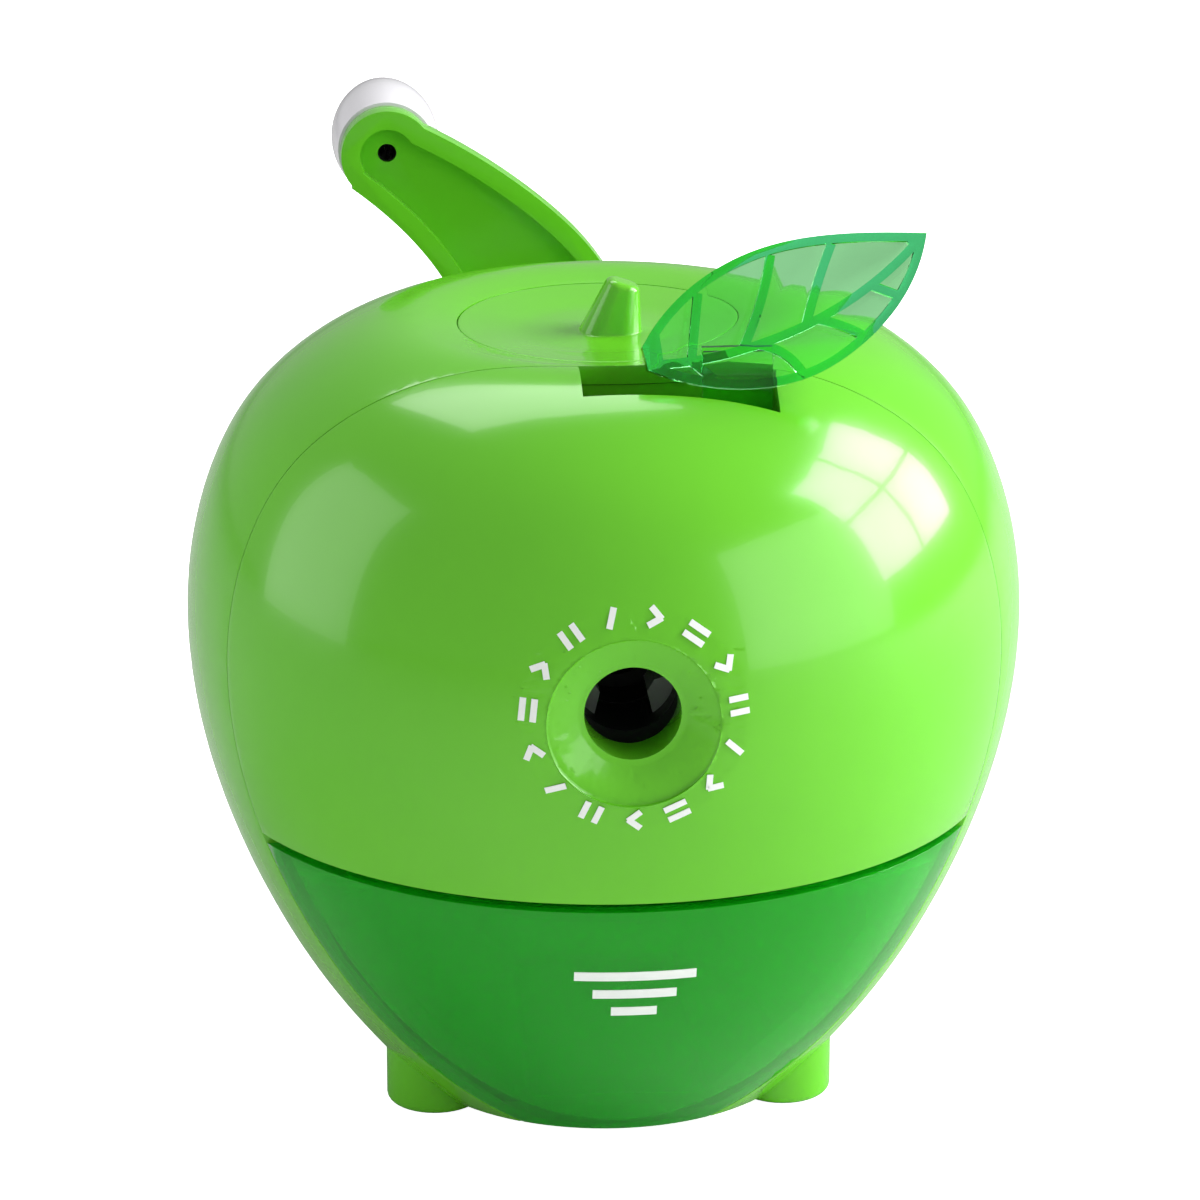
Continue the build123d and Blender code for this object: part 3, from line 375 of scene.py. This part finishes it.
def link_object(name: str, shape: bmesh.types.BMesh) -> bpy.types.Object:
    """Turn a bmesh into an object at the origin.

    Args:
        name: the object's name.
        shape: the bmesh, freed afterwards.

    Returns:
        The linked object.
    """
    mesh = bpy.data.meshes.new(name)
    shape.to_mesh(mesh)
    shape.free()
    made = bpy.data.objects.new(name, mesh)
    bpy.context.scene.collection.objects.link(made)
    return made


def smooth(piece: bpy.types.Object, angle: float = 30.0) -> None:
    """Shade a piece smooth, with a crease wherever faces meet at more than the angle in degrees."""
    mesh = piece.data
    mesh.polygons.foreach_set("use_smooth", [True] * len(mesh.polygons))
    mesh.set_sharp_from_angle(angle=radians(angle))


def merged_copy(node: str) -> bmesh.types.BMesh:
    """Copy a frame node's mesh with its doubled points merged and its flat faces joined.

    Args:
        node: the frame node.

    Returns:
        A closed bmesh.
    """
    shape = bmesh.new()
    shape.from_mesh(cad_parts[node].data)
    bmesh.ops.remove_doubles(shape, verts=shape.verts, dist=0.002 * MM)
    bmesh.ops.dissolve_limit(shape, angle_limit=radians(0.2), use_dissolve_boundaries=False, verts=shape.verts,
                             edges=shape.edges)
    return shape


def round_over(shape: bmesh.types.BMesh, radius: float, segments: int, sharper_than: float = 35.0) -> None:
    """Round the hard edges of a solid.

    Args:
        shape: the solid.
        radius: how far the rounding reaches from the edge, in millimetres.
        segments: how many steps the rounding has.
        sharper_than: the least angle between faces that counts as a hard edge, in degrees.
    """
    hard = [edge for edge in shape.edges if edge.is_manifold and edge.calc_face_angle() > radians(sharper_than)]
    bmesh.ops.bevel(shape, geom=hard, offset=radius * MM, offset_type="OFFSET", affect="EDGES", segments=segments,
                    profile=0.5, clamp_overlap=True, material=-1, loop_slide=True)


# ------------------------------------------------------------------------------ outer pieces


@dataclass(frozen=True)
class SoftenedPart:
    """An outer part that keeps its frame shape and gets its moulded edges rounded over."""

    name: str
    node: str
    body: Body
    finish: Finish
    radius: float
    segments: int = 4

    def shape(self) -> bmesh.types.BMesh:
        """Copy the frame shape and round its edges."""
        shape = merged_copy(self.node)
        round_over(shape, self.radius, self.segments)
        return shape

    def build(self, shop: PaintShop) -> bpy.types.Object:
        """Make, dress and mount the piece.

        Args:
            shop: where the finishes are kept.

        Returns:
            The finished piece.
        """
        piece = link_object(self.name, self.shape())
        smooth(piece)
        shop.dress(piece, self.finish)
        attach(piece, self.body.value)
        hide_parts(self.node)
        LOG.info("%s: %d faces", self.name, len(piece.data.polygons))
        return piece


@dataclass(frozen=True)
class FrontCasing(SoftenedPart):
    """The front casing, with a dish that blends softly into the shell round the pencil mouth.

    The reaches are distances from the pencil's line: dish_reach is how far the mesh is refined, blend_reach how far it
    is smoothed, lip_reach where the smoothing starts, and lip_edge where the rounded lip of the hole ends.
    """

    dish_reach: float = 13.4
    blend_reach: float = 12.7
    lip_reach: float = 6.5
    lip_edge: float = 5.6
    grain: float = 0.6
    refinements: int = 5
    passes: int = 90

    def shape(self) -> bmesh.types.BMesh:
        """Copy the frame shape, round its edges, then refine and smooth the dish."""
        shape = super().shape()
        for _ in range(self.refinements):
            self.refine(shape)
        shape.normal_update()
        ring = [corner for corner in shape.verts if self.lip_reach < self.spread(corner.co) < self.blend_reach
                and corner.co.y < MOUTH_FRONT_Y * MM and corner.normal.y < FACES_FORWARD]
        for _ in range(self.passes):
            bmesh.ops.smooth_vert(shape, verts=ring, factor=0.5, use_axis_x=False, use_axis_y=True, use_axis_z=False)
        return shape

    def spread(self, place: Vector) -> float:
        """How far a point is from the pencil's line, in millimetres."""
        return hypot(place.x, place.z - PENCIL_Z * MM) / MM

    def refine(self, shape: bmesh.types.BMesh) -> None:
        """Split the long edges round the mouth once.

        Args:
            shape: the casing being refined.
        """
        shape.normal_update()
        near = [face for face in shape.faces
                if face.normal.y < FACES_FORWARD and face.calc_center_median().y < MOUTH_FRONT_Y * MM
                and any(self.spread(corner.co) < self.dish_reach for corner in face.verts)
                and all(self.spread(corner.co) > self.lip_edge for corner in face.verts)]
        bmesh.ops.triangulate(shape, faces=near)
        long_edges = dict.fromkeys(edge for face in near if face.is_valid for edge in face.edges
                                   if edge.calc_length() > self.grain * MM
                                   and any(self.spread(corner.co) > self.lip_reach for corner in edge.verts))
        bmesh.ops.subdivide_edges(shape, edges=list(long_edges), cuts=1)


@dataclass(frozen=True)
class LeafLever(SoftenedPart):
    """The clear leaf, whose raised rim and veins are marked so that they take a deeper tint."""

    root: tuple[float, float, float] = (-1.2, -26.5, 96.5)
    lean: float = 20.0
    rib_foot: float = 0.15
    rib_top: float = 0.9

    def shape(self) -> bmesh.types.BMesh:
        """Copy the frame shape, round its edges and mark how far each point stands above the leaf's blade."""
        shape = super().shape()
        mask = shape.verts.layers.float.new(RIB_MASK)
        tilt = radians(self.lean)
        outward = Vector((0.0, -cos(tilt), sin(tilt)))
        for corner in shape.verts:
            height = (corner.co / MM - Vector(self.root)).dot(outward)
            corner[mask] = min(1.0, max(0.0, (height - self.rib_foot) / (self.rib_top - self.rib_foot)))
        return shape


@dataclass(frozen=True)
class FeedSpring(SoftenedPart):
    """A feed spring, pressed short against its bush as the carriage is pulled out."""

    travel: float = 22.0

    def shape(self) -> bmesh.types.BMesh:
        """Copy the frame shape as it is, since drawn wire has no edges to round."""
        return merged_copy(self.node)

    def build(self, shop: PaintShop) -> bpy.types.Object:
        """Make the spring and give it a mesh of its own.

        Args:
            shop: where the finishes are kept.

        Returns:
            The finished spring.
        """
        piece = super().build(shop)
        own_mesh(piece)
        return piece


# ------------------------------------------------------------------------------ printed marks


class Mark(Enum):
    """The plain marks of the printed ring; each is a set of strokes (x0, z0, x1, z1) in millimetres."""

    CHEVRON = ((-0.6, -0.95, 0.6, 0.0), (0.6, 0.0, -0.6, 0.95))
    BARS = ((-0.8, -0.95, -0.8, 0.95), (0.8, -0.95, 0.8, 0.95))
    BLOCK = ((-1.2, -0.6, 1.2, -0.6), (-1.2, 0.7, 1.2, 0.7))
    DASH = ((-0.45, -0.95, 0.45, 0.95),)


@dataclass(frozen=True)
class PadPrint:
    """White marks printed on a moulded surface, laid on by following the surface behind them."""

    name: str
    node: str
    body: Body
    stroke: float
    thickness: float = 0.05

    def strokes(self) -> list[tuple[float, float, float, float]]:
        """The strokes of the print as seen from the front, in millimetres."""
        return []

    def build(self, shop: PaintShop) -> bpy.types.Object:
        """Make, dress and mount the print.

        Args:
            shop: where the finishes are kept.

        Returns:
            The finished print.
        """
        shape = bmesh.new()
        for x0, z0, x1, z1 in self.strokes():
            along = Vector((x1 - x0, 0.0, z1 - z0))
            length = along.length + self.stroke * 0.4
            across = Vector((-along.z, 0.0, along.x)).normalized()
            place = Matrix.Identity(4)
            for column, axis in enumerate((along.normalized() * length, across * self.stroke, Vector((0.0, -1.0, 0.0)),
                                           Vector(((x0 + x1) / 2, -100.0, (z0 + z1) / 2)))):
                place.col[column][:3] = axis * MM
            bmesh.ops.create_grid(shape, x_segments=max(3, round(length / 0.5)), y_segments=2, size=0.5, matrix=place)
        self.lay_on(shape)
        bmesh.ops.recalc_face_normals(shape, faces=shape.faces)
        piece = link_object(self.name, shape)
        smooth(piece)
        shop.dress(piece, Finish.PRINT)
        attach(piece, self.body.value)
        LOG.info("%s: %d faces", self.name, len(piece.data.polygons))
        return piece

    def lay_on(self, shape: bmesh.types.BMesh) -> None:
        """Drop the flat strokes onto the surface and give them their thickness.

        Args:
            shape: the flat strokes, standing in front of the surface.
        """
        backing = merged_copy(self.node)
        tree = BVHTree.FromBMesh(backing)
        backing.free()
        faces = list(shape.faces)
        skin = bmesh.ops.extrude_face_region(shape, geom=faces, use_keep_orig=True)["geom"]
        outer = {corner for corner in skin if isinstance(corner, bmesh.types.BMVert)}
        for corner in shape.verts:
            place, normal, _, _ = tree.ray_cast(corner.co, Vector((0.0, 1.0, 0.0)))
            lift = self.thickness if corner in outer else -self.thickness / 2
            corner.co = place + normal * lift * MM


@dataclass(frozen=True)
class MouthRing(PadPrint):
    """Fifteen plain marks in a ring round the pencil mouth."""

    radius: float = 11.9
    sequence: tuple[Mark, ...] = (Mark.CHEVRON, Mark.BLOCK, Mark.CHEVRON, Mark.BARS, Mark.DASH) * 3

    def strokes(self) -> list[tuple[float, float, float, float]]:
        """The ring's strokes, each mark turned to its place."""
        laid = []
        for number, mark in enumerate(self.sequence):
            turn = tau * (number + 0.5) / len(self.sequence)
            for x0, z0, x1, z1 in mark.value:
                ends = []
                for along, outward in ((x0, z0), (x1, z1)):
                    reach = self.radius + outward
                    ends += [reach * sin(turn) + along * cos(turn), PENCIL_Z + reach * cos(turn) - along * sin(turn)]
                laid.append(tuple(ends))
        return laid


@dataclass(frozen=True)
class PullMark(PadPrint):
    """Three bars, each shorter than the one above, on the drawer's front where it is gripped."""

    middle: tuple[float, float] = (0.7, 26.2)
    half_widths: tuple[float, ...] = (6.8, 4.6, 2.4)
    spacing: float = 2.7

    def strokes(self) -> list[tuple[float, float, float, float]]:
        """The three bars, from the top down."""
        x, z = self.middle
        levels = [z + self.spacing * (1 - row) for row in range(len(self.half_widths))]
        return [(x - half, level, x + half, level) for half, level in zip(self.half_widths, levels)]


# ------------------------------------------------------------------------------ inner mechanism


@dataclass(frozen=True)
class Mechanism:
    """The inner parts that keep their frame shape and only take a finish."""

    finishes: tuple[tuple[Finish, tuple[str, ...]], ...] = (
        (Finish.BLACK, ("chuck_housing", "chuck_cover", "cutter_hood", "cutter_carrier", "cutter_gear")),
        (Finish.GREY, ("ring_gear", "cam_ring", "chuck_jaw_1", "chuck_jaw_2", "chuck_jaw_3", "rod_bush_left",
                       "rod_bush_right")),
        (Finish.STEEL, ("guide_rod_left", "guide_rod_right", "crank_shaft", "crank_screw", "knob_pin", "cutter_axle",
                        "carriage_screws", "face_plate_screws", "gear_screws", "hood_screws", "lever_rivets")),
        (Finish.TOOL_STEEL, ("helical_cutter",)),
        (Finish.SPRING, ("lever_spring", "rod_clips")),
        (Finish.BRONZE, ("crank_bush",)),
        (Finish.CASING, ("face_plate",)),
    )

    def dress(self, shop: PaintShop) -> None:
        """Put every finish on its frame nodes.

        Args:
            shop: where the finishes are kept.
        """
        for finish, names in self.finishes:
            for name in names:
                shop.dress(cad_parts[name], finish)
                LOG.info("%s: %s", name, finish.name)


# ------------------------------------------------------------------------------ studio


@dataclass(frozen=True)
class SoftPanel:
    """A rectangular light aimed at the sharpener."""

    name: str
    place: tuple[float, float, float]
    size: tuple[float, float]
    power: float
    panes: tuple[int, int] = (1, 1)
    bar: float = 0.02
    mirrored: bool = True

    def put_up(self, target: Vector) -> None:
        """Hang the panel, split into panes when it is a window.

        Args:
            target: the point it faces.
        """
        columns, rows = self.panes
        turn = (Vector(self.place) - target).to_track_quat("Z", "Y")
        width = (self.size[0] - self.bar * (columns - 1)) / columns
        height = (self.size[1] - self.bar * (rows - 1)) / rows
        for column in range(columns):
            for row in range(rows):
                light = bpy.data.lights.new(f"{self.name}_{column}_{row}", "AREA")
                light.shape = "RECTANGLE"
                light.size, light.size_y = width, height
                light.energy = self.power / (columns * rows)
                lamp = bpy.data.objects.new(light.name, light)
                lamp.visible_glossy = self.mirrored
                bpy.context.scene.collection.objects.link(lamp)
                across = (column - (columns - 1) / 2) * (width + self.bar)
                along = (row - (rows - 1) / 2) * (height + self.bar)
                lamp.location = Vector(self.place) + turn @ Vector((across, along, 0.0))
                lamp.rotation_mode = "QUATERNION"
                lamp.rotation_quaternion = turn


@dataclass(frozen=True)
class Studio:
    """Camera, floor, surroundings and lights."""

    target: tuple[float, float, float] = (-0.00042, 0.0, 0.0602)
    azimuth: float = -4.0
    elevation: float = 18.57
    distance: float = 0.650
    lens: float = 161.9
    panels: tuple[SoftPanel, ...] = (
        SoftPanel("left_panel", (-0.90, 0.02, 0.28), (0.55, 0.95), 2.8),
        SoftPanel("window", (0.66, 0.06, 0.42), (0.50, 0.56), 9.0, panes=(2, 2)),
        SoftPanel("top_panel", (-0.12, 0.45, 0.90), (0.6, 0.4), 3.0),
        SoftPanel("right_fill", (0.95, -0.62, 0.30), (1.0, 1.0), 7.0),
    )

    def camera(self) -> None:
        """Set up the camera at the viewing angle."""
        lens = bpy.data.cameras.new("camera")
        lens.lens = self.lens
        lens.sensor_width = 36.0
        lens.clip_start = 0.05
        holder = bpy.data.objects.new("camera", lens)
        turn, tilt = radians(self.azimuth), radians(self.elevation)
        back = Vector((sin(turn) * cos(tilt), -cos(turn) * cos(tilt), sin(tilt)))
        holder.location = Vector(self.target) + back * self.distance
        holder.rotation_euler = back.to_track_quat("Z", "Y").to_euler()
        bpy.context.scene.collection.objects.link(holder)
        bpy.context.scene.camera = holder

    def floor(self) -> None:
        """Lay a plain pale floor under the feet."""
        shape = bmesh.new()
        bmesh.ops.create_grid(shape, x_segments=1, y_segments=1, size=3.0)
        floor = link_object("floor", shape)
        made = bpy.data.materials.new("Pale Floor")
        made.use_nodes = True
        shader = made.node_tree.nodes["Principled BSDF"]
        shader.inputs["Roughness"].default_value = 0.9
        shader.inputs["Specular IOR Level"].default_value = 0.1
        shader.inputs["Emission Color"].default_value = (1.0, 1.0, 1.0, 1.0)
        path = made.node_tree.nodes.new("ShaderNodeLightPath")
        tone = made.node_tree.nodes.new("ShaderNodeMix")
        tone.data_type = "RGBA"
        tone.inputs["A"].default_value = (0.9, 0.9, 0.9, 1.0)
        tone.inputs["B"].default_value = (0.45, 0.45, 0.45, 1.0)
        made.node_tree.links.new(path.outputs["Is Glossy Ray"], tone.inputs["Factor"])
        made.node_tree.links.new(tone.outputs["Result"], shader.inputs["Base Color"])
        made.node_tree.links.new(path.outputs["Is Camera Ray"], shader.inputs["Emission Strength"])
        floor.data.materials.append(made)

    def surroundings(self) -> None:
        """White where it is seen directly or through clear plastic, softer where it is mirrored."""
        world = bpy.data.worlds.new("Studio")
        world.use_nodes = True
        bpy.context.scene.world = world
        nodes, links = world.node_tree.nodes, world.node_tree.links
        nodes.clear()
        out = nodes.new("ShaderNodeOutputWorld")
        seen, soft = nodes.new("ShaderNodeBackground"), nodes.new("ShaderNodeBackground")
        seen.inputs["Strength"].default_value = 1.0
        seen.inputs["Color"].default_value = (1.0, 1.0, 1.0, 1.0)
        soft.inputs["Color"].default_value = (1.0, 1.0, 1.0, 1.0)
        soft.inputs["Strength"].default_value = 0.38
        path = nodes.new("ShaderNodeLightPath")
        direct = nodes.new("ShaderNodeMath")
        direct.operation = "MAXIMUM"
        links.new(path.outputs["Is Camera Ray"], direct.inputs[0])
        links.new(path.outputs["Is Transmission Ray"], direct.inputs[1])
        mix = nodes.new("ShaderNodeMixShader")
        links.new(direct.outputs["Value"], mix.inputs["Fac"])
        links.new(soft.outputs["Background"], mix.inputs[1])
        links.new(seen.outputs["Background"], mix.inputs[2])
        links.new(mix.outputs["Shader"], out.inputs["Surface"])

    def set_up(self) -> None:
        """Build the whole studio."""
        self.camera()
        self.floor()
        self.surroundings()
        for panel in self.panels:
            panel.put_up(Vector(self.target))
        bpy.context.scene.view_settings.view_transform = "Standard"


OUTER_PARTS = (
    SoftenedPart("rear_casing", "rear_shell", Body.CASING, Finish.CASING, 0.45),
    FrontCasing("front_casing", "front_shell", Body.CARRIAGE, Finish.CASING, 0.45),
    SoftenedPart("stalk_cap", "top_cap", Body.CASING, Finish.CASING, 0.3),
    LeafLever("leaf", "leaf_lever", Body.LEVER, Finish.LEAF, 0.22, segments=3),
    SoftenedPart("crank_handle", "crank_arm", Body.CRANK, Finish.CASING, 1.1, segments=5),
    SoftenedPart("crank_knob", "knob", Body.KNOB, Finish.KNOB, 0.5),
    SoftenedPart("clear_drawer", "drawer", Body.DRAWER, Finish.DRAWER, 0.4),
    FeedSpring("feed_spring_coil_left", "feed_spring_left", Body.CASING, Finish.SPRING, 0.0),
    FeedSpring("feed_spring_coil_right", "feed_spring_right", Body.CASING, Finish.SPRING, 0.0),
    MouthRing("mouth_ring_print", "front_shell", Body.CARRIAGE, 0.72),
    PullMark("pull_mark_print", "drawer", Body.DRAWER, 1.3),
)


def main() -> None:
    """Build every sub-assembly in order."""
    logging.basicConfig(level=logging.INFO, format="%(name)s %(message)s")
    shop = PaintShop()
    Studio().set_up()
    Mechanism().dress(shop)
    for part in OUTER_PARTS:
        part.build(shop)


if __name__ == "__main__":
    main()
